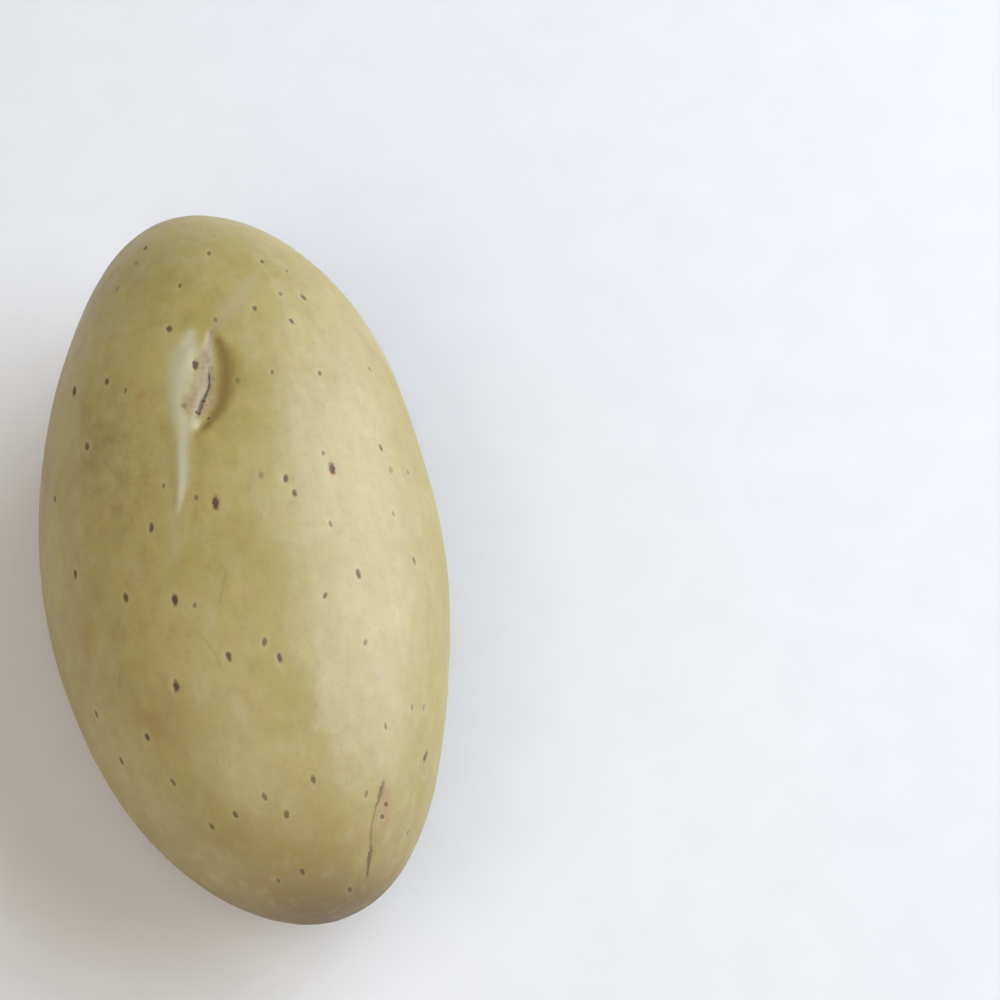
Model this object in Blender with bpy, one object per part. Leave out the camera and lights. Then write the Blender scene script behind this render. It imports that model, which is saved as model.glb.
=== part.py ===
"""A potato: one solid tuber that lies on its side on a small flat spot.

Run it with: blender --background --python part.py, or from Blender's text editor.
Metres, +Z up. The long axis runs along Y, with the narrower end towards +Y and the
blunter end towards -Y. The origin is at the surface that the tuber rests on, under
the middle of its box.
"""

import bmesh
import bpy
import numpy as np

MM = 0.001

# Driving dimensions, in millimetres: the finished tuber measures these as it lies.
LENGTH = 140.0
WIDTH = 70.0
HEIGHT = 57.0
FLAT_SPOT_DEPTH = 0.45  # how much the flat spot takes off the round underside

# The widest level lies a little below the middle, and the ends are blunter in side view
# than an egg's: 2 gives a plain egg there, and more gives a fuller one.
CROWN_SHARE = 0.52
END_FULLNESS = 2.35

# The tuber is shaped from a ball with this many cells along each edge of its six
# patches. On the finished tuber the cells measure about 2 mm by 4 mm.
CELLS = 24

# What makes the tuber more than an egg. Each line is a place on the ball, as a direction
# from its centre, then how far the skin stands out there in millimetres (or in, where
# it is negative), and the angle in degrees over which that fades away.
SWELLINGS = (
    ("far tip, left of the axis", (-0.20, 0.98, 0.00), 4.8, 26),
    ("far right shoulder", (0.62, 0.78, 0.00), 0.7, 30),
    ("far left slope", (-0.62, 0.78, 0.00), -0.4, 30),
    ("waist on the right", (0.97, 0.22, 0.10), -1.2, 13),
    ("left flank", (-0.99, 0.15, 0.00), 1.5, 26),
    ("near right flank", (0.85, -0.50, 0.00), -1.8, 30),
    ("near right heel", (0.40, -0.92, 0.00), 2.0, 26),
    ("near left slope", (-0.40, -0.92, 0.00), -1.8, 28),
    ("near left cheek", (-0.85, -0.50, 0.00), 1.2, 30),
    ("hollow of the crown eye", (-0.04, 0.28, 0.96), -1.0, 9),
    ("hollow of the heel eye", (0.40, -0.81, 0.42), -0.6, 8),
)

SKIN_COLOUR = (0.42, 0.34, 0.17, 1.0)  # washed yellow-brown skin, linear
SKIN_ROUGHNESS = 0.45


def clear_scene():
    """Starts from an empty scene."""
    for item in list(bpy.data.objects):
        bpy.data.objects.remove(item, do_unlink=True)


def named_collection(name):
    """A collection under the scene's own, for one object's pieces."""
    collection = bpy.data.collections.new(name)
    bpy.context.scene.collection.children.link(collection)
    return collection


def skin_material():
    """Washed potato skin: pale yellow-brown, with a dull sheen."""
    material = bpy.data.materials.new("potato_skin")
    material.use_nodes = True
    shader = material.node_tree.nodes["Principled BSDF"]
    shader.inputs["Base Color"].default_value = SKIN_COLOUR
    shader.inputs["Roughness"].default_value = SKIN_ROUGHNESS
    shader.inputs["Metallic"].default_value = 0.0
    return material


def quad_ball(cells):
    """A ball of radius 1 made from a cube, so that its cells are even and it has no poles."""
    ball = bmesh.new()
    bmesh.ops.create_cube(ball, size=2.0)
    bmesh.ops.subdivide_edges(ball, edges=ball.edges[:], cuts=cells - 1, use_grid_fill=True)
    for vertex in ball.verts:
        # Equal angles across a patch keep its cells alike from the middle to the corners.
        vertex.co = np.tan(np.array(vertex.co) * np.pi / 4)
        vertex.co.normalize()
    return ball


def egg(direction):
    """The plain egg: its points under each direction, and its outward normals there."""
    half_height = np.where(direction[:, 2] > 0, CROWN_SHARE, 1 - CROWN_SHARE) * HEIGHT
    half_width = np.full(len(direction), WIDTH / 2)
    half_length = np.full(len(direction), LENGTH / 2)
    half_sizes = np.column_stack((half_width, half_length, half_height))
    across, along, up = np.abs(direction).T
    side_view = (along**END_FULLNESS + up**END_FULLNESS) ** (2 / END_FULLNESS)
    fuller = direction / np.sqrt(across**2 + side_view)[:, np.newaxis]
    outward = direction / half_sizes
    outward /= np.linalg.norm(outward, axis=1, keepdims=True)
    return fuller * half_sizes, outward


def swelling_height(direction):
    """How far all the swellings together move the skin outward, in millimetres."""
    height = np.zeros(len(direction))
    for _name, place, amount, reach in SWELLINGS:
        middle = np.array(place) / np.linalg.norm(place)
        angle = np.degrees(np.arccos(np.clip(direction @ middle, -1.0, 1.0)))
        height += amount * np.exp(-((angle / reach) ** 2))
    return height


def fit_to_size(points, sizes):
    """Centres the points over the origin, stands them at height 0 and scales them to sizes."""
    low = points.min(axis=0)
    extent = points.max(axis=0) - low
    points = (points - low) / extent - (0.5, 0.5, 0.0)
    return points * sizes


def tuber_points(direction):
    """Where each point of the ball ends up on the tuber, in millimetres."""
    points, outward = egg(direction)
    points += outward * swelling_height(direction)[:, np.newaxis]
    points = fit_to_size(points, (WIDTH, LENGTH, HEIGHT + FLAT_SPOT_DEPTH))
    points[:, 2] = np.maximum(points[:, 2] - FLAT_SPOT_DEPTH, 0.0)
    return points


def make_potato(collection):
    """The one solid of the tuber."""
    ball = quad_ball(CELLS)
    direction = np.array([vertex.co for vertex in ball.verts], dtype=float)
    for vertex, point in zip(ball.verts, tuber_points(direction) * MM):
        vertex.co = point
    mesh = bpy.data.meshes.new("potato")
    ball.to_mesh(mesh)
    ball.free()
    mesh.shade_smooth()
    mesh.materials.append(skin_material())
    potato = bpy.data.objects.new("potato", mesh)
    collection.objects.link(potato)
    return potato


clear_scene()
make_potato(named_collection("fresh_potato"))
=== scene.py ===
# %% [markdown]
# # A washed potato
#
# A potato is one tuber that grew in soil and was then washed. Its skin is a thin, waxy
# layer over pale flesh. This file gives the plain CAD tuber that skin: its gentle
# unevenness, its eyes, its pores and its colours. The CAD part is loaded first and is
# never moved or resized, because everything else is measured from it.

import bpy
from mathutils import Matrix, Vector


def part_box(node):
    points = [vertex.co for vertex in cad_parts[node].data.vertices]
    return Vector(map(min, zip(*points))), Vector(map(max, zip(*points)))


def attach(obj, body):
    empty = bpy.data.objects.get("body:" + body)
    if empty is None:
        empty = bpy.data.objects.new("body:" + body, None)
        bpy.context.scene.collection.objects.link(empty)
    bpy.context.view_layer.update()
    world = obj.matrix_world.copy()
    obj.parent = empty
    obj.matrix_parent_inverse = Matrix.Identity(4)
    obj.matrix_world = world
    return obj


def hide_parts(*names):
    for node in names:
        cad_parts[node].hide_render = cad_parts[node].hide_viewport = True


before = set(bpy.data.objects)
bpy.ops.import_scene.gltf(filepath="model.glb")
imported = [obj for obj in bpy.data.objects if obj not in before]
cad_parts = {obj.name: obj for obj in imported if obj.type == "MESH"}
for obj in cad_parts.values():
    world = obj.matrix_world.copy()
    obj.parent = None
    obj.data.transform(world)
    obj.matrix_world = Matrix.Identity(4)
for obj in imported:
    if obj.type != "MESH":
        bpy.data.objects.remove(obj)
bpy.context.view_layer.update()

# %% [markdown]
# The skin is worked out in millimetres, since pores and cracks are easier to picture
# that way. The middle and the half sizes of the tuber come from its CAD node. A ball of
# radius 1, scaled by the half sizes, is then already close to the tuber.

# %% Measures
import math

import bmesh
import bpy
import numpy as np
from mathutils import Matrix, Vector, noise
from mathutils.bvhtree import BVHTree
from mathutils.kdtree import KDTree

MM = 0.001
low, high = (np.array(corner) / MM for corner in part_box("potato"))
middle = (low + high) / 2
half_size = (high - low) / 2
print("middle of the tuber, mm:", middle.round(1), "half sizes, mm:", half_size.round(1))

# %% [markdown]
# ## Camera
#
# The tuber is seen from above and in front, about 60 degrees above the table, with its
# far end leaning a little to the left. It sits left of the middle of the view, so the
# camera aims at a point beside it and keeps no shift.

# %% Camera
CAMERA_AZIMUTH = -11.0      # degrees round the tuber
CAMERA_ELEVATION = 58.5     # degrees above the table
CAMERA_DISTANCE = 484.0     # mm from the tuber's middle
AIM_RIGHT_AND_UP = (45.2, 8.1)  # mm, from the tuber's middle to the middle of the view
LENS = 100.0                # mm, on a sensor 36 mm wide


def add_camera():
    """A camera that looks at the aim point from the given angle, with no shift."""
    azimuth = math.radians(CAMERA_AZIMUTH)
    elevation = math.radians(CAMERA_ELEVATION)
    towards = Vector(
        (
            math.sin(azimuth) * math.cos(elevation),
            -math.cos(azimuth) * math.cos(elevation),
            math.sin(elevation),
        )
    )
    right = Vector((math.cos(azimuth), math.sin(azimuth), 0.0))
    up = towards.cross(right)
    aim = Vector(middle) + right * AIM_RIGHT_AND_UP[0] + up * AIM_RIGHT_AND_UP[1]
    data = bpy.data.cameras.new("camera")
    data.lens = LENS
    data.sensor_width = 36.0
    camera = bpy.data.objects.new("camera", data)
    camera.location = (aim + towards * CAMERA_DISTANCE) * MM
    camera.rotation_euler = Matrix((right, up, towards)).transposed().to_euler()
    bpy.context.scene.collection.objects.link(camera)
    bpy.context.scene.camera = camera
    return camera


camera = add_camera()
print("camera at, m:", tuple(round(value, 3) for value in camera.location))

# %% [markdown]
# ## Colours and nodes
#
# Every colour below is written as the sRGB hex value that the eye sees. Blender's
# shaders want linear light, so one function turns hex into linear values. A second
# small function adds a shader node with its settings and its links.

# %% Colour and node helpers


def linear(hex_colour, alpha=1.0):
    """An sRGB hex colour, such as "#B4A06E", as linear red, green, blue and alpha."""
    digits = hex_colour.lstrip("#")
    values = [int(digits[place : place + 2], 16) / 255 for place in (0, 2, 4)]
    bent = [v / 12.92 if v <= 0.04045 else ((v + 0.055) / 1.055) ** 2.4 for v in values]
    return (*bent, alpha)


def add_node(tree, kind, inputs=None, **settings):
    """Adds a node. A socket among the inputs is linked, and any other value is set."""
    made = tree.nodes.new(kind)
    for name, value in settings.items():
        setattr(made, name, value)
    for place, value in (inputs or {}).items():
        if isinstance(value, bpy.types.NodeSocket):
            tree.links.new(value, made.inputs[place])
        else:
            made.inputs[place].default_value = value
    return made


# The colour sockets of a Mix node have no names of their own, only places.
MIX_FACTOR, MIX_A, MIX_B, MIX_RESULT = 0, 6, 7, 2


def new_material(name):
    """A material with an empty tree but for its shader, and the tree and the shader."""
    material = bpy.data.materials.new(name)
    material.use_nodes = True
    return material, material.node_tree, material.node_tree.nodes["Principled BSDF"]


print("straw yellow in linear light:", [round(v, 3) for v in linear("#C8BC8C")])

# %% [markdown]
# ## Table and light
#
# The tuber lies on a plain white table top. A broad window to the right, a little
# behind the tuber, draws the long soft shine on its right shoulder. The room itself
# gives an even light from all round, so that no side goes black.

# %% Table
TABLE_SIZE = 1.8  # m


def white_laminate():
    """Matt white laminate: its sheen is dull and its grain is only just there."""
    material, tree, shader = new_material("white_laminate")
    place = add_node(tree, "ShaderNodeTexCoord")
    grain = add_node(
        tree,
        "ShaderNodeTexNoise",
        {"Vector": place.outputs["Object"], "Scale": 90.0, "Detail": 3.0},
    )
    tone = add_node(
        tree,
        "ShaderNodeMix",
        {MIX_FACTOR: grain.outputs["Fac"], MIX_A: linear("#DEDEDD"), MIX_B: linear("#E5E5E4")},
        data_type="RGBA",
    )
    tree.links.new(tone.outputs[MIX_RESULT], shader.inputs["Base Color"])
    shader.inputs["Roughness"].default_value = 0.7
    shader.inputs["IOR"].default_value = 1.45
    shader.inputs["Specular IOR Level"].default_value = 0.2
    return material


def add_table():
    """A flat table top whose surface is at height 0."""
    mesh = bpy.data.meshes.new("table")
    top = bmesh.new()
    bmesh.ops.create_grid(top, x_segments=1, y_segments=1, size=TABLE_SIZE / 2)
    top.to_mesh(mesh)
    top.free()
    mesh.materials.append(white_laminate())
    table = bpy.data.objects.new("table", mesh)
    bpy.context.scene.collection.objects.link(table)
    return table


table = add_table()
print("table top, m:", tuple(round(side, 2) for side in table.dimensions))

# %% Light
WINDOW_DIRECTION = Vector((0.84, 0.16, 0.50))  # from the tuber towards the window
WINDOW_DISTANCE = 0.9   # m
WINDOW_SIDES = (1.3, 1.2)  # m
WINDOW_POWER = 17.5     # W
CEILING_DIRECTION = Vector((-0.50, -0.50, 1.0))
CEILING_DISTANCE = 1.2  # m
CEILING_SIDES = (1.3, 1.3)  # m
CEILING_POWER = 8.8     # W
ROOM_LIGHT = 0.20
BACKDROP = 0.85


def add_soft_light(name, direction, distance, sides, power, colour):
    """A rectangular area light that faces the tuber."""
    data = bpy.data.lights.new(name, "AREA")
    data.shape = "RECTANGLE"
    data.size, data.size_y = sides
    data.energy = power
    data.color = linear(colour)[:3]
    light = bpy.data.objects.new(name, data)
    light.location = Vector(middle) * MM + direction.normalized() * distance
    light.rotation_euler = direction.to_track_quat("Z", "Y").to_euler()
    bpy.context.scene.collection.objects.link(light)
    return light


def light_the_room(colour, strength, backdrop):
    """An even light from all round. Past the table's edge the eye sees a paler backdrop."""
    world = bpy.data.worlds.new("room")
    world.use_nodes = True
    tree = world.node_tree
    seen = add_node(tree, "ShaderNodeLightPath").outputs["Is Camera Ray"]
    brightness = add_node(
        tree, "ShaderNodeMapRange", {"Value": seen, 3: strength, 4: backdrop}
    ).outputs["Result"]
    background = tree.nodes["Background"]
    background.inputs["Color"].default_value = linear(colour)
    tree.links.new(brightness, background.inputs["Strength"])
    bpy.context.scene.world = world


window = add_soft_light(
    "window", WINDOW_DIRECTION, WINDOW_DISTANCE, WINDOW_SIDES, WINDOW_POWER, "#E2ECFF"
)
ceiling = add_soft_light(
    "ceiling", CEILING_DIRECTION, CEILING_DISTANCE, CEILING_SIDES, CEILING_POWER, "#FFF6E8"
)
light_the_room("#FFF9F0", ROOM_LIGHT, BACKDROP)
bpy.context.scene.view_settings.view_transform = "Standard"
print("window at, m:", tuple(round(value, 2) for value in window.location))

# %% [markdown]
# ## The ground form of the skin
#
# The CAD tuber is made of flat facets of 2 to 4 mm, which is fine for its weight and
# its balance but would show in its shine. A fine skin is made over it in three steps. A
# cube is cut into small cells, more of them along the length, and blown up to a ball.
# Each point then slides outward until it meets the CAD facets. Last, the small steps
# between facets are smoothed away. What gets smoothed isn't the points, because that
# would shrink the ends, but how far each point lies from a perfect ball.

# %% A ball of even cells
CELL = 0.53  # mm, about the side of one cell on the finished tuber


def cells_along(half_length):
    """How many cells fit along one side of the ball: a quarter of its circle."""
    return round(half_length * math.pi / 2 / CELL)


def box_of_cells(counts):
    """A cube from -1 to 1 in bmesh, with its own number of cells along X, Y and Z."""
    box = bmesh.new()
    for axis in range(3):
        first, second = (axis + 1) % 3, (axis + 2) % 3
        for way in (-1, 1):
            turn = Matrix.Identity(4)
            turn.col[0] = [*(float(i == first) for i in range(3)), 0.0]
            turn.col[1] = [*(way * float(i == second) for i in range(3)), 0.0]
            turn.col[2] = [*(way * float(i == axis) for i in range(3)), 0.0]
            turn.col[3] = [*(way * float(i == axis) for i in range(3)), 1.0]
            bmesh.ops.create_grid(
                box,
                x_segments=counts[first],
                y_segments=counts[second],
                size=1.0,
                matrix=turn,
            )
    bmesh.ops.remove_doubles(box, verts=box.verts[:], dist=1e-5)
    return box


counts = [cells_along(half) for half in half_size]
ball = box_of_cells(counts)
print("cells along X, Y and Z:", counts, "points:", len(ball.verts), "cells:", len(ball.faces))

# %% From the box to the ball


def ball_directions(box):
    """Where each point of the box lies on the ball. Equal angles keep the cells even."""
    corners = np.array([vertex.co for vertex in box.verts])
    bent = np.tan(corners * math.pi / 4)
    return bent / np.linalg.norm(bent, axis=1, keepdims=True)


directions = ball_directions(ball)
print("ball points from", directions.min(axis=0).round(2), "to", directions.max(axis=0).round(2))

# %% From the ball to the tuber


def reach_of_cad(directions):
    """How far out the CAD facets lie along each direction: 1 on the plain scaled ball."""
    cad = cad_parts["potato"].data
    facets = BVHTree.FromPolygons(
        [vertex.co / MM for vertex in cad.vertices],
        [face.vertices[:] for face in cad.polygons],
    )
    reach = np.empty(len(directions))
    for number, way in enumerate((directions * half_size).tolist()):
        distance = facets.ray_cast(middle.tolist(), way)[3]
        reach[number] = distance / math.hypot(*way)
    return reach


reach = reach_of_cad(directions)
print("the tuber lies between", reach.min().round(3), "and", reach.max().round(3), "of the ball")

# %% Smooth the facets away
SMOOTHING_ROUNDS = 150  # enough to blend facets of 2 to 4 mm, and no more


def smoothed(values, edges, rounds):
    """Averages each point's value with its neighbours', again and again."""
    ends = edges.T.ravel()
    others = edges[:, ::-1].T.ravel()
    neighbours = np.bincount(ends)
    for _round in range(rounds):
        around = np.bincount(ends, weights=values[others]) / neighbours
        values = (values + around) / 2
    return values


edges = np.array([[vertex.index for vertex in edge.verts] for edge in ball.edges])
quads = np.array([[vertex.index for vertex in face.verts] for face in ball.faces])
reach = smoothed(reach, edges, SMOOTHING_ROUNDS)
ground = middle + directions * half_size * reach[:, np.newaxis]
ground[:, 2] = np.maximum(ground[:, 2], 0.0)
print("smooth ground form, mm:", ground.min(axis=0).round(2), "to", ground.max(axis=0).round(2))

# %% [markdown]
# The smooth form becomes a mesh, so that Blender can say which way the skin faces at
# each point. From here on the mesh is only moved by small relief along those normals.

# %% The skin's mesh
mesh = bpy.data.meshes.new("potato_skin")
ball.to_mesh(mesh)
ball.free()


def put_points(points):
    """Moves the mesh to these points, given in mm."""
    mesh.vertices.foreach_set("co", (points * MM).astype(np.float32).ravel())
    mesh.update()


def outward_normals():
    """The way that the skin faces at each point."""
    flat = np.empty(len(mesh.vertices) * 3, dtype=np.float32)
    mesh.vertices.foreach_get("normal", flat)
    return flat.reshape(-1, 3).astype(float)


put_points(ground)
outward = outward_normals()
facing_out = np.einsum("ij,ij->i", outward, ground - middle)
print("points whose skin faces inward:", int((facing_out < 0).sum()))

# %% [markdown]
# ## Brushes
#
# Everything that marks the skin is painted onto the smooth form with two kinds of
# brush. A stroke follows a short line of knots, each with its own half width. A wave
# is soft noise with a known wavelength. A brush gives every point a number, which later
# moves the point or tints it.

# %% Find places on the skin
ground_facets = BVHTree.FromPolygons(ground.tolist(), quads.tolist())
ABOVE = 100.0  # mm, higher than the tuber


def drop(places):
    """Drops places, given as x and y, from above onto the skin: points and normals."""
    hits = [ground_facets.ray_cast((x, y, ABOVE), (0.0, 0.0, -1.0)) for x, y in places]
    return np.array([hit[0] for hit in hits]), np.array([hit[1] for hit in hits])


def shoot(ways):
    """Shoots from the tuber's middle out to the skin, in ball directions."""
    hits = [
        ground_facets.ray_cast(middle.tolist(), (np.array(way) * half_size).tolist())
        for way in ways
    ]
    return np.array([hit[0] for hit in hits]), np.array([hit[1] for hit in hits])


def nearest(points, places):
    """For each point, the number of the nearest place."""
    tree = KDTree(len(places))
    for number, place in enumerate(places):
        tree.insert(place, number)
    tree.balance()
    return np.array([tree.find(point)[1] for point in points.tolist()])


crown, _normals = drop([(0.0, 0.0)])
print("the skin above the middle lies at height, mm:", crown[0].round(2)[2])

# %% A stroke along knots
STEP = 0.25  # mm between the samples of a line


def smooth_line(knots):
    """Rounds a line of knots off into many samples, as a Catmull-Rom curve."""
    knots = np.array(knots, dtype=float)
    if len(knots) == 1:
        return knots
    ends = (2 * knots[0] - knots[1], 2 * knots[-1] - knots[-2])
    padded = np.vstack((ends[0], knots, ends[1]))
    pieces = []
    for before, start, end, after in zip(padded, padded[1:], padded[2:], padded[3:]):
        count = max(2, round(math.dist(start[:2], end[:2]) / STEP))
        t = np.linspace(0.0, 1.0, count, endpoint=False)[:, np.newaxis]
        straight = 2 * start + (end - before) * t
        bend = (2 * before - 5 * start + 4 * end - after) * t**2
        twist = (3 * start - before - 3 * end + after) * t**3
        pieces.append((straight + bend + twist) / 2)
    return np.vstack((*pieces, knots[-1:]))


def stroke(*knots):
    """1 along a line of (x, y, half width) knots, fading to a third at its half width."""
    line = smooth_line(knots)
    on_skin, _normals = drop(line[:, :2])
    which = nearest(ground, on_skin)
    distance = np.linalg.norm(ground - on_skin[which], axis=1)
    return np.exp(-((distance / np.maximum(line[which, 2], 0.05)) ** 2))


def waves(length, stretch=1.0, shift=0.0):
    """Soft noise from -1 to 1. Its waves are this long in mm, and longer along Y if stretched."""
    places = ground / (length, length * stretch, length) + shift
    return np.array([noise.noise(place) for place in places.tolist()])


test_stroke = stroke((0, 0, 5), (0, 10, 5))
print("points under a test stroke 10 mm wide:", int((test_stroke > 0.37).sum()))

# %% [markdown]
# ## Relief
#
# A tuber swells against stones and clods, so it's never an even egg. Long shallow waves
# give its shine a lively edge. Waves drawn out along the length follow the way it grew.

# %% Unevenness
relief = 0.24 * waves(26.0) + 0.14 * waves(13.0, 2.6, shift=5.0) + 0.05 * waves(6.0, shift=9.0)
print("unevenness, mm: from", relief.min().round(2), "to", relief.max().round(2))

# %% [markdown]
# ### The crown eye
#
# An eye is where a leaf would have sat, with a bud above it. The largest one on this
# tuber is a long corky scar near the crown. A hollow curls round its right side, and a
# low ridge rises on its left and runs down the tuber as a crease. The scar has split
# along its middle. All knots are in millimetres, seen from above.

# %% Crown eye
scar = stroke((1.2, 28, 0.3), (0.2, 24.5, 1.0), (-0.6, 21.5, 1.7), (-1.2, 18, 2.3), (-2.7, 14, 2.7), (-4.0, 11.2, 1.6))
hollow = stroke((1.0, 26, 0.7), (1.0, 21.5, 1.9), (0.2, 16, 2.3), (-1.1, 12, 2.0), (-3.6, 7.8, 0.9))
brow = stroke((-3.4, 24, 0.9), (-5.4, 19, 2.2), (-6.8, 13, 2.1), (-7.1, 7, 1.4), (-8.0, -1, 0.9), (-9, -6, 0.3))
valley = stroke((-4.4, 7, 0.4), (-5.2, 1, 1.4), (-6.4, -6, 1.0), (-8, -12, 0.3))
split = stroke((-0.5, 20.5, 0.35), (-0.9, 17, 0.45), (-1.7, 15, 0.5), (-2.3, 13.7, 0.6), (-3.8, 10, 0.4))
lump = stroke((-4.9, 12.0, 1.0))
relief += -0.85 * hollow - 0.12 * scar + 0.26 * brow - 0.12 * valley + 0.22 * lump
relief += -0.30 * split + 0.16 * scar * waves(1.7, 1.8, shift=3.0)
print("crown eye, mm: from", (relief * scar).min().round(2), "to", (relief * brow).max().round(2))

# %% Heel eye
patch = stroke((16.4, -56.6, 0.8), (15.9, -58.8, 1.0), (15.2, -61, 0.7))
heel_groove = stroke((15.6, -57, 0.4), (14.9, -58.4, 0.4), (13.0, -62.3, 0.4), (11.8, -65.6, 0.6))
heel_bump = stroke((14.8, -62.6, 1.4))
relief += 0.14 * patch - 0.16 * heel_groove + 0.28 * heel_bump
print("heel eye: points in its patch:", int((patch > 0.37).sum()))

# %% [markdown]
# ### The other eyes
#
# Eyes run round a tuber in a loose spiral and crowd together at its far end. The ones
# on the sides and underneath are all made alike: a hollow with a small bud in it, and a
# curved brow below the bud. Each is given by the way it lies from the tuber's middle.

# %% Directions that lie flat on the skin


def lie_flat(normals, turns):
    """At each normal, the directions across and along the tuber, turned by degrees."""
    at_an_end = np.abs(normals[:, 1:2]) > 0.9
    guide = np.where(at_an_end, (0.0, 0.0, 1.0), (0.0, 1.0, 0.0))
    along = guide - normals * np.einsum("ij,ij->i", guide, normals)[:, np.newaxis]
    along /= np.linalg.norm(along, axis=1, keepdims=True)
    across = np.cross(along, normals)
    cosine, sine = (wave(np.radians(turns))[:, np.newaxis] for wave in (np.cos, np.sin))
    return across * cosine + along * sine, along * cosine - across * sine


flat_across, flat_along = lie_flat(np.array([[0.0, 0.0, 1.0]]), np.array([0.0]))
print("on a level top, across is", flat_across[0], "and along is", flat_along[0])

# %% Eyes on the hidden sides
EYES = (
    # where it lies from the middle, size, turn in degrees
    ((-0.78, 0.42, -0.45), 1.0, -12),
    ((0.36, 0.10, -0.93), 1.1, 8),
    ((0.80, 0.50, -0.32), 0.9, 15),
    ((-0.30, -0.42, -0.86), 1.0, -6),
    ((0.86, -0.42, -0.28), 0.9, 10),
    ((-0.10, 0.86, -0.48), 1.0, 0),
    ((0.22, 0.965, -0.10), 0.75, 20),
    ((-0.34, 0.93, 0.02), 0.7, -25),
    ((-0.12, 0.985, -0.06), 0.6, 5),
)
eye_places, eye_normals = shoot([eye[0] for eye in EYES])
eye_across, eye_along = lie_flat(eye_normals, np.array([float(eye[2]) for eye in EYES]))
eye_hollows, eye_brows, eye_buds, eye_folds = (np.zeros(len(ground)) for _part in range(4))
for (_way, size, _turn), place, across, along in zip(EYES, eye_places, eye_across, eye_along):
    offset = (ground - place) / size
    x, y = offset @ across, offset @ along
    close = np.linalg.norm(offset, axis=1) < 14.0
    bend = x**2 / 12
    eye_hollows += close * np.exp(-((x / 4.2) ** 2) - ((y - 1.2) / 2.3) ** 2)
    eye_brows += close * np.exp(-(((y + 2.0 - bend) / 0.9) ** 2) - (x / 4.6) ** 4)
    eye_folds += close * np.exp(-(((y + 0.9 - bend) / 0.45) ** 2) - (x / 3.6) ** 4)
    eye_buds += close * np.exp(-((x / 1.0) ** 2) - ((y - 0.5) / 0.8) ** 2)
relief += -0.85 * eye_hollows + 0.40 * eye_brows + 0.55 * eye_buds - 0.25 * eye_folds
print(len(EYES), "more eyes; points in their hollows:", int((eye_hollows > 0.37).sum()))

# %% [markdown]
# At the near end sits the scar of the runner that fed the tuber. It's a small corky
# plug in a dimple with a low rim.

# %% Runner scar
runner_places, _normals = shoot([(0.08, -0.92, -0.38)])
from_runner = np.linalg.norm(ground - runner_places[0], axis=1)
runner_plug = np.exp(-((from_runner / 2.0) ** 4))
runner_rim = np.exp(-(((from_runner - 3.9) / 1.3) ** 2))
relief += -0.9 * np.exp(-((from_runner / 3.2) ** 2)) + 0.22 * runner_rim
relief += 0.3 * runner_plug * (0.5 + waves(1.3, shift=2.0))
print("runner scar at, mm:", runner_places[0].round(1))

# %% [markdown]
# ### Pores
#
# The dark specks are lenticels, the pores that the tuber breathes through. Washing
# leaves them as small brown slits, each drawn out along the tuber, with a paler skin
# round it. Those on top are placed one by one. Those on the hidden sides are scattered
# by a seeded rule, so that every run gives the same tuber.

# %% Pores on top
PORES = (
    # half width and half length in mm, darkness, and the places as (x, y) in mm
    (0.50, 1.05, 1.00, ((17, -3), (-3, -8), (-12, -23), (-14, -37), (-24, 27), (-2.6, 21))),
    (0.43, 0.85, 0.90, ((9, -5), (-14, -9), (-20, -19), (-28, -9), (-23, 13), (-18, 24))),
    (0.43, 0.80, 0.90, ((-5, -35), (3, -37), (-20, -42), (-6, 30), (18, -23), (24, -50))),
    (0.38, 0.68, 0.80, ((-8, 55), (3, 48), (12, 45), (9, 32), (15, 29), (18, 36), (10, -8))),
    (0.36, 0.68, 0.75, ((26, 3), (1, -34), (28, -18), (12, -27), (-28, -33), (-25, -42))),
    (0.36, 0.66, 0.75, ((-17, -50), (5, -56), (-8, -58), (0, -60), (-12, -58), (-30, 8))),
    (0.33, 0.60, 0.70, ((8, -69), (1, -67), (-3, -67), (-3, -57), (-3, 40), (18, 17))),
    (0.32, 0.55, 0.60, ((16, 43), (14, 36), (27, 21), (10, 17), (-15, 20), (16, 0), (30, 0))),
    (0.30, 0.52, 0.60, ((-11, -2), (-6, -6), (15, -14), (-9, -25), (23, -44), (18, -48))),
    (0.32, 0.55, 0.55, ((13, -58), (19, -61), (25, -43), (26, -10), (17, -35), (2, 30))),
    (0.45, 0.75, 0.45, ((5, -4), (4, 16), (-10, 51), (-14, 46), (27, -1), (-5.6, 12.6))),
    (0.42, 0.42, 0.95, ((-2.3, 13.6), (-3.5, 11.0))),
    (0.38, 0.38, 0.80, ((15.9, -58.9), (15.0, -60.6), (-1.9, 9.6))),
)
WARM_PORES = {(17, -3), (-3, -8), (18, 36), (24, -50), (-24, 27), (15.9, -58.9)}

top_pores = [
    (place, half_width, half_length, darkness, float(place in WARM_PORES))
    for half_width, half_length, darkness, places in PORES
    for place in places
]
top_places, top_normals = drop([pore[0] for pore in top_pores])
print("pores placed on top:", len(top_pores))

# %% Pores on the hidden sides
SEED = 11
HIDDEN_PORES = 95
GAP = 5.0        # mm, the least distance between two pores
TRIES = 6000

rng = np.random.default_rng(SEED)
corners = ground[quads]
centres = corners.mean(axis=1)
crossed = np.cross(corners[:, 2] - corners[:, 0], corners[:, 3] - corners[:, 1])
area = np.linalg.norm(crossed, axis=1) / 2
cell_normals = crossed / (2 * area[:, np.newaxis])
to_camera = np.array(camera.location) / MM - centres
hidden = np.einsum("ij,ij->i", cell_normals, to_camera) < 0
eye_centres = np.vstack((eye_places, runner_places))

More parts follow.
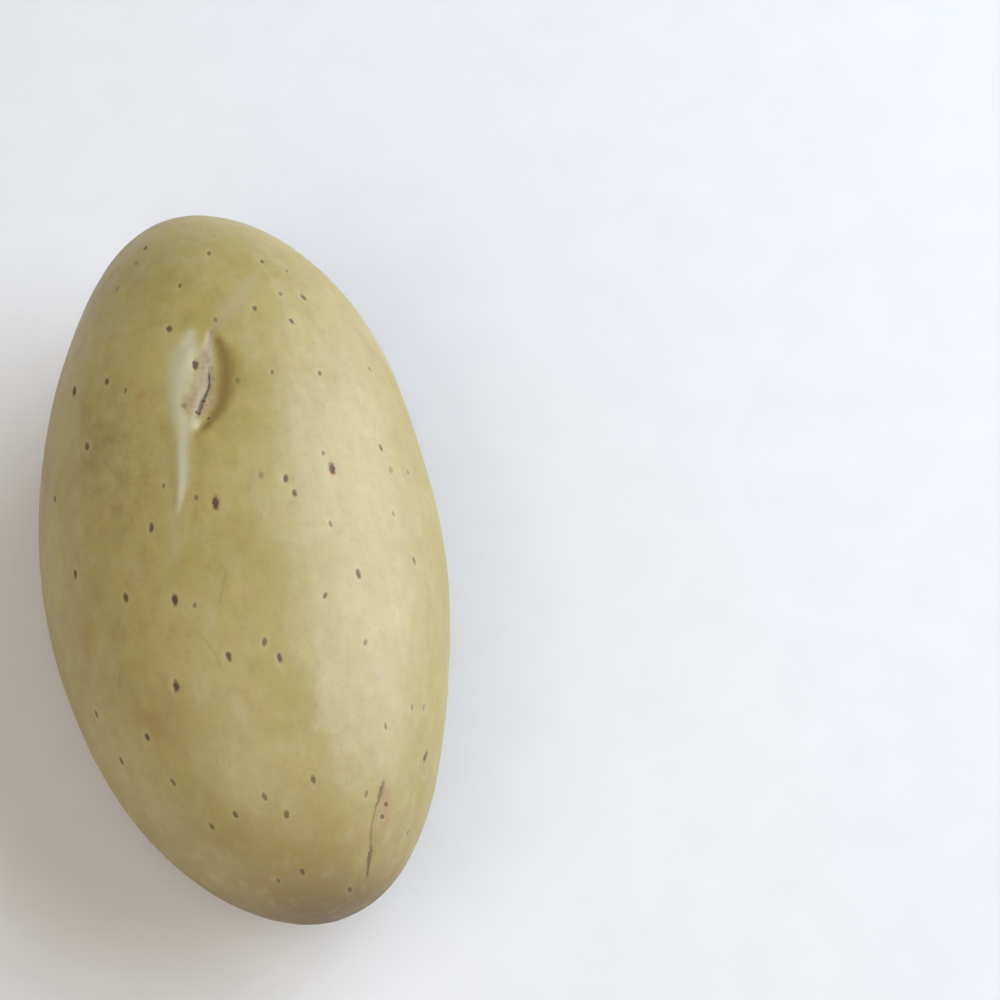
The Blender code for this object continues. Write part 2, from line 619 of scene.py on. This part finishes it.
chosen = []
taken = np.vstack((top_places, eye_centres))
for cell in rng.choice(len(quads), size=TRIES, p=area / area.sum()):
    if len(chosen) == HIDDEN_PORES:
        break
    if hidden[cell] and np.linalg.norm(taken - centres[cell], axis=1).min() > GAP:
        chosen.append(cell)
        taken = np.vstack((taken, centres[cell]))

sizes = rng.uniform(0.28, 0.52, len(chosen))
hidden_pores = np.column_stack(
    (
        sizes,
        sizes * rng.uniform(1.5, 2.2, len(chosen)),
        0.35 + 0.65 * rng.uniform(0.0, 1.0, len(chosen)) ** 0.7,
        rng.uniform(0.0, 1.0, len(chosen)) > 0.85,
    )
)
pore_places = np.vstack((top_places, centres[chosen]))
pore_normals = np.vstack((top_normals, cell_normals[chosen]))
pore_looks = np.vstack(([pore[1:] for pore in top_pores], hidden_pores))
pore_turns = rng.normal(0.0, 9.0, len(pore_places))
pore_across, pore_along = lie_flat(pore_normals, pore_turns)
print("pores scattered on the hidden sides:", len(chosen), "and in all:", len(pore_places))

# %% [markdown]
# A pore is only one or two cells wide, so its outline can't come from the mesh alone.
# Each corner of a cell therefore keeps its offset from the pore nearest to that cell,
# counted in half widths and half lengths. The material turns it into a clean oval: the
# offset is exact anywhere inside a cell, because it changes evenly. Keeping it at the
# corners lets two neighbouring cells belong to two different pores.

# %% Keep offsets at the corners of the cells


def keep(name, domain, values):
    """Stores one vector for each point or corner of the mesh, for the material to read."""
    layer = mesh.attributes.new(name, "FLOAT_VECTOR", domain)
    layer.data.foreach_set("vector", np.asarray(values, dtype=np.float32).ravel())


def per_corner(cell_values):
    """Repeats what a cell has at each of its four corners."""
    return np.repeat(cell_values, 4, axis=0)


corner_points = ground[quads].reshape(-1, 3)
cell_pore = nearest(centres, pore_places)
corner_pore = per_corner(cell_pore)
offset = corner_points - pore_places[corner_pore]
pore_x = np.einsum("ij,ij->i", offset, pore_across[corner_pore]) / pore_looks[corner_pore, 0]
pore_y = np.einsum("ij,ij->i", offset, pore_along[corner_pore]) / pore_looks[corner_pore, 1]
pore_z = np.einsum("ij,ij->i", offset, pore_normals[corner_pore]) / pore_looks[corner_pore, 1]
keep("pore_offset", "CORNER", np.column_stack((pore_x, pore_y, pore_z)))
keep("pore_look", "CORNER", np.column_stack((pore_looks[corner_pore, 2:], corner_pore * 0.0)))
print("corners inside a pore:", int((np.hypot(pore_x, pore_y) < 1).sum()))

# %% Pits under the pores
point_pore = nearest(ground, pore_places)
offset = ground - pore_places[point_pore]
pit_x = np.einsum("ij,ij->i", offset, pore_across[point_pore]) / (pore_looks[point_pore, 0] + 0.25)
pit_y = np.einsum("ij,ij->i", offset, pore_along[point_pore]) / (pore_looks[point_pore, 1] + 0.25)
from_pore = np.linalg.norm(offset, axis=1)
pits = (from_pore < 3.0) * np.exp(-(pit_x**2) - pit_y**2) * pore_looks[point_pore, 2]
relief -= 0.10 * pits
print("deepest pit, mm:", (0.10 * pits.max()).round(2))

# %% [markdown]
# Fine cracks get the same treatment. Each cell takes the nearest sample of the nearest
# crack, and its corners keep how far they lie to the side of it, in half widths.

# %% Fine cracks
CRACKS = (
    # darkness, then the knots as (x, y, half width) in mm
    (1.00, ((-0.5, 20.5, 0.1), (-0.9, 17, 0.22), (-1.7, 15, 0.28), (-2.4, 13.6, 0.36), (-3.8, 10, 0.2))),
    (0.70, ((16.3, -55.4, 0.2), (15.5, -57.3, 0.42), (14.9, -58.4, 0.32), (14.0, -59.8, 0.2))),
    (0.40, ((14.6, -58.8, 0.2), (13.0, -62.3, 0.24), (12.4, -64.4, 0.28), (12.0, -65.4, 0.3))),
    (0.75, ((12.6, -64.2, 0.2), (12.1, -65.3, 0.55), (11.7, -66.1, 0.5), (11.0, -67.8, 0.2))),
    (0.16, ((-3, -20, 0.3), (-4.2, -23.5, 0.25), (-5.5, -27, 0.15))),
    (0.14, ((-9, -30, 0.14), (-7.3, -33.5, 0.16), (-6, -38, 0.12))),
)


def fade_ends(count):
    """1 along the middle of a line of samples, falling to 0 at both ends."""
    along = np.linspace(0.0, 1.0, count)
    return np.clip(np.minimum(along, 1 - along) / 0.15, 0.0, 1.0)


crack_parts = []
for darkness, knots in CRACKS:
    line = smooth_line(knots)
    on_skin, normals = drop(line[:, :2])
    tangent = np.gradient(on_skin, axis=0)
    side = np.cross(tangent, normals)
    side /= np.linalg.norm(side, axis=1, keepdims=True)
    crack_parts.append((on_skin, side, line[:, 2], darkness * fade_ends(len(line))))
crack_places, crack_sides, crack_widths, crack_dark = (
    np.concatenate(part) for part in zip(*crack_parts)
)
cell_crack = nearest(centres, crack_places)
near_crack = np.linalg.norm(centres - crack_places[cell_crack], axis=1) < 2.0
corner_crack = per_corner(cell_crack)
offset = corner_points - crack_places[corner_crack]
crack_x = np.einsum("ij,ij->i", offset, crack_sides[corner_crack]) / crack_widths[corner_crack]
crack_strength = per_corner(near_crack) * crack_dark[corner_crack]
keep("crack_offset", "CORNER", np.column_stack((crack_x, crack_strength, crack_x * 0)))
print("samples along", len(CRACKS), "cracks:", len(crack_places))

# %% [markdown]
# ## Paint
#
# Softer marks are painted as numbers from 0 to 1 at the points, three to a layer, and
# the material gives them their colours. The left flank, the underside and the near end
# are browner and darker, partly from soil stain and partly as painted shade. Scuffs
# come from digging and washing. They're broken up with waves so that they look rubbed
# and not sprayed.

# %% Paint on the eyes


def patchy(mask, length, shift):
    """Breaks a mask up into clumps of about this wavelength in mm."""
    return mask * np.clip(0.55 + 1.1 * waves(length, shift=shift), 0.0, 1.3)


pale_band = stroke((1.0, 27.3, 0.8), (4, 31, 1.6), (6, 34, 1.8), (10, 40, 1.0))
pale_band += 0.8 * stroke((-8.6, -3, 0.5), (-9.6, -8, 1.2), (-11.4, -16, 0.5))
# Painted highlight: a pale tint on the brow ridge and the crease left of the crown eye, where the window light catches
# them.
brow_highlight = 0.85 * stroke((-2.6, 28, 1.0), (-4.8, 21, 2.4), (-5.9, 14, 2.2), (-6.4, 8, 1.4), (-7.2, 2, 0.6))
crease_highlight = 0.9 * stroke((-6.5, 9, 0.3), (-7.1, 4, 1.0), (-7.8, -2, 0.9), (-9.2, -8, 0.3))
# Painted shade on the right wall of the crown eye's hollow, which faces away from the window.
shaded_wall = stroke((2.2, 25.5, 0.7), (2.7, 21.5, 1.4), (1.9, 16, 1.6), (0.5, 11.5, 1.4), (-2.4, 7.4, 0.8))
scar_edge = np.clip(1.7 * scar - 0.50 + 0.50 * waves(1.6, 1.5, shift=7.0), 0.0, 1.0)
ridge_highlight_paint = np.clip(np.maximum(brow_highlight, crease_highlight), 0.0, 1.0) * (1 - scar_edge)
scar_paint = np.clip(scar_edge + 0.2 * patch + 0.6 * eye_buds + 0.6 * runner_plug, 0.0, 1.0)
# Painted shade in the hollows and folds of all the eyes.
hollow_shade_paint = np.clip(shaded_wall + 0.5 * eye_hollows + 0.7 * eye_folds, 0.0, 1.0)
hollow_shade_paint *= 1 - scar_edge
keep("eye_paint", "POINT", np.column_stack((scar_paint, hollow_shade_paint, ridge_highlight_paint)))
print("painted scar points:", int((scar_paint > 0.5).sum()))

# %% Paint on the skin
scuffs = patchy(stroke((-20, 20, 4.5), (-20, 10, 6), (-18, 0, 6)), 3.0, 1.0)
scuffs += 0.6 * patchy(stroke((-30, 30, 3), (-26, 38, 4)), 2.5, 4.0)
scuffs += 0.5 * patchy(stroke((16, 40, 5), (14, 48, 5)), 1.6, 6.0)
scuffs += 0.5 * patchy(stroke((-22, -22, 3), (-23, -32, 3)), 2.5, 8.0)
warm = 0.9 * patchy(stroke((-17, -40, 4)), 4.0, 2.0) + 0.7 * stroke((-12.5, 17.5, 1.0))
warm += 0.9 * stroke((16.3, -56.6, 0.9), (15.9, -59, 1.3), (15.2, -61.4, 0.9)) + 0.5 * stroke((-28, -20, 2.5), (-28.5, -26, 2.5))
warm += 0.45 * stroke((-27, 37, 4), (-30, 25, 4), (-32, 12, 3))
warm += 0.45 * patchy(stroke((33, 12, 2.5), (31, 22, 2.5), (26, 32, 2.5)), 3.0, 5.0)
keep("skin_paint", "POINT", np.column_stack((scuffs, warm, pale_band)))

# Browner and darker towards the bottom, the left flank and the near end: partly soil stain, partly painted shade.
low_down = np.clip((42.0 - ground[:, 2]) / 28.0, 0.0, 1.0) ** 1.5
left_side = np.clip((-ground[:, 0] - 6.0) / 28.0, 0.0, 1.0)
heel_end = np.exp(-(((ground[:, 1] + 76.0) / 16.0) ** 2))
soil_brown_and_shade = 0.40 * low_down + 0.08 * left_side + 0.7 * left_side * low_down + 0.7 * heel_end
soil_brown_and_shade = np.clip(soil_brown_and_shade, 0.0, 1.0)
green_tint = patchy(stroke((-10, 50, 7), (-12, 40, 7)), 9.0, 3.0)
keep("soil_and_shade_paint", "POINT", np.column_stack((soil_brown_and_shade, green_tint, runner_plug)))
print("mean brown of the soil side:", soil_brown_and_shade.mean().round(2))

# %% [markdown]
# Now the relief moves the points along their normals. The flat spot keeps touching the
# table, and the whole skin stays inside the CAD box but for a few tenths of a millimetre.

# %% Move the points
skin_points = ground + outward * relief[:, np.newaxis]
skin_points[:, 2] = np.maximum(skin_points[:, 2], 0.0)
put_points(skin_points)
mesh.shade_smooth()
print("skin, mm:", skin_points.min(axis=0).round(2), "to", skin_points.max(axis=0).round(2))

# %% [markdown]
# ## Washed potato skin
#
# The skin is a thin layer of cork cells over yellow flesh. Seen close up it's straw
# yellow with olive and tan clouds and a faint net of finer lines. It's waxy, so bright
# light spreads into a soft sheen. A little light enters the flesh and comes out
# nearby, which softens the edges of the shadows.

# %% Washed potato skin
STRAW = "#AB9A58"         # the mid-tone of the washed skin
OLIVE = "#A19049"         # where the skin is thinner and the flesh shows green
TAN = "#B19A5C"           # where the cork is a little thicker
NET_BROWN = "#957F49"     # the finest lines of the cork
# The two soil browns are soil stain and painted shade together, darkest low down on the left and at the near end.
SOIL_BROWN_AND_SHADE = "#8B6D32"    # stained by damp soil
DEEP_SOIL_AND_SHADE = "#5F3C14"
SCUFF_BROWN = "#80683A"
RUST = "#9A6F35"
SCAR_PINK = "#98805C"
SCAR_TAN = "#A79666"
SCAR_DARK = "#77604A"     # corky and a little lilac
# Painted shade, ochre, on the walls of the eye hollows.
PAINTED_HOLLOW_SHADE = "#85692F"
# A pale tone: the skin's own pale streaks, and a painted highlight on the ridge and crease left of the crown eye.
PALE_STREAK_AND_RIDGE_HIGHLIGHT = "#BDBA9E"
LILAC = "#B0A286"
PORE_BROWN = "#4E2E00"
PORE_RUST = "#A0642C"
HALO_PALE = "#B9AF7C"
CRACK_BROWN = "#3F2A1C"
GREEN = "#8C8B50"


def waves_per_metre(length):
    """The scale of a texture whose waves are this long, in mm."""
    return 1 / (length * MM)


def washed_potato_skin():
    """Straw-yellow cork over flesh: waxy, softly shining, cloudy, with brown pores."""
    material, tree, shader = new_material("washed_potato_skin")
    place = add_node(tree, "ShaderNodeTexCoord").outputs["Object"]

    def cloud(length, detail=2.0, stretch=1.0):
        """Noise with waves this long in mm, drawn out along the tuber by stretch."""
        squeezed = add_node(
            tree,
            "ShaderNodeMapping",
            {"Vector": place, "Scale": (1.0, 1.0 / stretch, 1.0)},
        )
        return add_node(
            tree,
            "ShaderNodeTexNoise",
            {
                "Vector": squeezed.outputs["Vector"],
                "Scale": waves_per_metre(length),
                "Detail": detail,
            },
        ).outputs["Fac"]

    def between(value, start, end, low=0.0, high=1.0):
        """Turns a value between start and end smoothly into one between low and high."""
        return add_node(
            tree,
            "ShaderNodeMapRange",
            {"Value": value, 1: start, 2: end, 3: low, 4: high},
            interpolation_type="SMOOTHSTEP",
        ).outputs["Result"]

    def combine(operation, *values):
        """One step of arithmetic on sockets or numbers."""
        return add_node(
            tree, "ShaderNodeMath", dict(enumerate(values)), operation=operation
        ).outputs["Value"]

    def painted(name):
        """The three numbers of a paint layer."""
        vector = add_node(tree, "ShaderNodeAttribute", attribute_name=name).outputs["Vector"]
        parts = add_node(tree, "ShaderNodeSeparateXYZ", {"Vector": vector})
        return parts.outputs

    broad = cloud(26.0, 3.0)
    mottle = cloud(7.0, 4.0)
    streaks = cloud(3.2, 3.0, stretch=5.0)
    fine = cloud(0.9, 3.0)
    flecks = cloud(2.4, 3.0, stretch=1.6)
    speck_distance = add_node(
        tree,
        "ShaderNodeTexVoronoi",
        {"Vector": place, "Scale": waves_per_metre(3.4), "Randomness": 1.0},
    ).outputs["Distance"]
    specks = combine("MULTIPLY", between(speck_distance, 0.03, 0.10, 1.0, 0.0), between(mottle, 0.45, 0.6))

    pore_offset = add_node(tree, "ShaderNodeAttribute", attribute_name="pore_offset")
    pore_radius = add_node(
        tree,
        "ShaderNodeVectorMath",
        {0: pore_offset.outputs["Vector"]},
        operation="LENGTH",
    ).outputs["Value"]
    ragged = combine("ADD", pore_radius, between(fine, 0.3, 0.7, -0.22, 0.22))
    darkness, warmth, _spare = painted("pore_look")
    pore = combine("MULTIPLY", between(ragged, 0.55, 1.45, 1.0, 0.0), darkness)
    halo = combine("MULTIPLY", between(ragged, 1.2, 3.0, 0.22, 0.0), darkness)
    warm_halo = combine("MULTIPLY", between(ragged, 0.9, 2.2, 1.0, 0.0), warmth)

    side, crack_dark, _spare = painted("crack_offset")
    crack_side = combine("ADD", combine("ABSOLUTE", side), between(fine, 0.3, 0.7, -0.3, 0.3))
    crack = combine("MULTIPLY", between(crack_side, 0.1, 1.5, 0.9, 0.0), crack_dark)

    # The eye paint holds the corky scar, painted shade in the eye hollows and a painted highlight on the ridge beside
    # the crown eye.
    scar, hollow, ridge_highlight = painted("eye_paint")
    scuff, warm, lilac = painted("skin_paint")
    # The first soil number is soil stain and painted shade together.
    soil_and_shade, green, plug = painted("soil_and_shade_paint")
    deep_soil_and_shade = between(soil_and_shade, 0.48, 0.95)

    colour = add_node(
        tree,
        "ShaderNodeMix",
        {MIX_FACTOR: between(broad, 0.35, 0.65), MIX_A: linear(OLIVE), MIX_B: linear(STRAW)},
        data_type="RGBA",
    ).outputs[MIX_RESULT]
    layers = (
        (between(mottle, 0.48, 0.72, 0.0, 0.55), TAN),
        (between(streaks, 0.45, 0.75, 0.0, 0.14), PALE_STREAK_AND_RIDGE_HIGHLIGHT),
        (combine("MULTIPLY", green, 0.5), GREEN),
        # Soil stain and painted shade: browner and darker low down, on the left and at the near end.
        (combine("MULTIPLY", soil_and_shade, between(mottle, 0.2, 0.7, 0.5, 1.0)), SOIL_BROWN_AND_SHADE),
        (combine("MULTIPLY", deep_soil_and_shade, 0.9), DEEP_SOIL_AND_SHADE),
        (between(flecks, 0.5, 0.75, 0.0, 0.35), NET_BROWN),
        (between(flecks, 0.25, 0.48, 0.25, 0.0), HALO_PALE),
        (between(fine, 0.52, 0.75, 0.0, 0.30), NET_BROWN),
        (combine("MULTIPLY", specks, 0.35), SCUFF_BROWN),
        (combine("MULTIPLY", scuff, between(fine, 0.3, 0.6, 0.15, 0.45)), SCUFF_BROWN),
        (combine("MULTIPLY", warm, 0.75), RUST),
        (combine("MULTIPLY", lilac, 0.3), LILAC),
        # Painted highlight on the ridge and crease beside the crown eye.
        (combine("MULTIPLY", ridge_highlight, 0.85), PALE_STREAK_AND_RIDGE_HIGHLIGHT),
        # Painted shade in the eye hollows.
        (combine("MULTIPLY", hollow, 0.75), PAINTED_HOLLOW_SHADE),
        (combine("MULTIPLY", scar, 0.95), SCAR_TAN),
        (combine("MULTIPLY", scar, between(flecks, 0.35, 0.6, 0.15, 0.9)), SCAR_PINK),
        (combine("MULTIPLY", scar, between(fine, 0.52, 0.66, 0.0, 0.55)), SCAR_DARK),
        (combine("MULTIPLY", plug, between(fine, 0.3, 0.7, 0.2, 0.9)), SCUFF_BROWN),
        (halo, HALO_PALE),
        (combine("MULTIPLY", warm_halo, 0.6), PORE_RUST),
        (pore, PORE_BROWN),
        (crack, CRACK_BROWN),
    )
    for factor, tint in layers:
        colour = add_node(
            tree,
            "ShaderNodeMix",
            {MIX_FACTOR: factor, MIX_A: colour, MIX_B: linear(tint)},
            data_type="RGBA",
            clamp_factor=True,
        ).outputs[MIX_RESULT]
    tree.links.new(colour, shader.inputs["Base Color"])

    # Cork, pores and cracks are duller than the waxy skin between them.
    dull = combine("MAXIMUM", combine("MAXIMUM", pore, crack), combine("MULTIPLY", scar, 0.7))
    sheen = combine("ADD", between(mottle, 0.3, 0.7, 0.40, 0.50), combine("MULTIPLY", soil_and_shade, 0.12))
    roughness = combine("ADD", sheen, combine("MULTIPLY", dull, 0.25))
    tree.links.new(roughness, shader.inputs["Roughness"])

    # Heights in mm: the grain and the long streaks stand out, the pores and cracks are cut in.
    grain = combine("MULTIPLY", fine, 0.030)
    dents = combine("MULTIPLY", streaks, 0.060)
    cuts = combine("ADD", combine("MULTIPLY", pore, -0.05), combine("MULTIPLY", crack, -0.16))
    height = combine("ADD", combine("ADD", grain, dents), cuts)
    bump = add_node(tree, "ShaderNodeBump", {"Height": height, "Strength": 1.0, "Distance": MM})
    tree.links.new(bump.outputs["Normal"], shader.inputs["Normal"])

    shader.inputs["IOR"].default_value = 1.5
    shader.inputs["Specular IOR Level"].default_value = 1.0
    shader.inputs["Subsurface Weight"].default_value = 0.12
    shader.inputs["Subsurface Radius"].default_value = (1.0, 0.7, 0.35)
    shader.inputs["Subsurface Scale"].default_value = 1.5 * MM
    return material


mesh.materials.append(washed_potato_skin())
skin = bpy.data.objects.new("potato_skin", mesh)
bpy.context.scene.collection.objects.link(skin)
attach(skin, "root")
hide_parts("potato")
print("skin piece, mm:", tuple(round(side / MM, 1) for side in skin.dimensions))
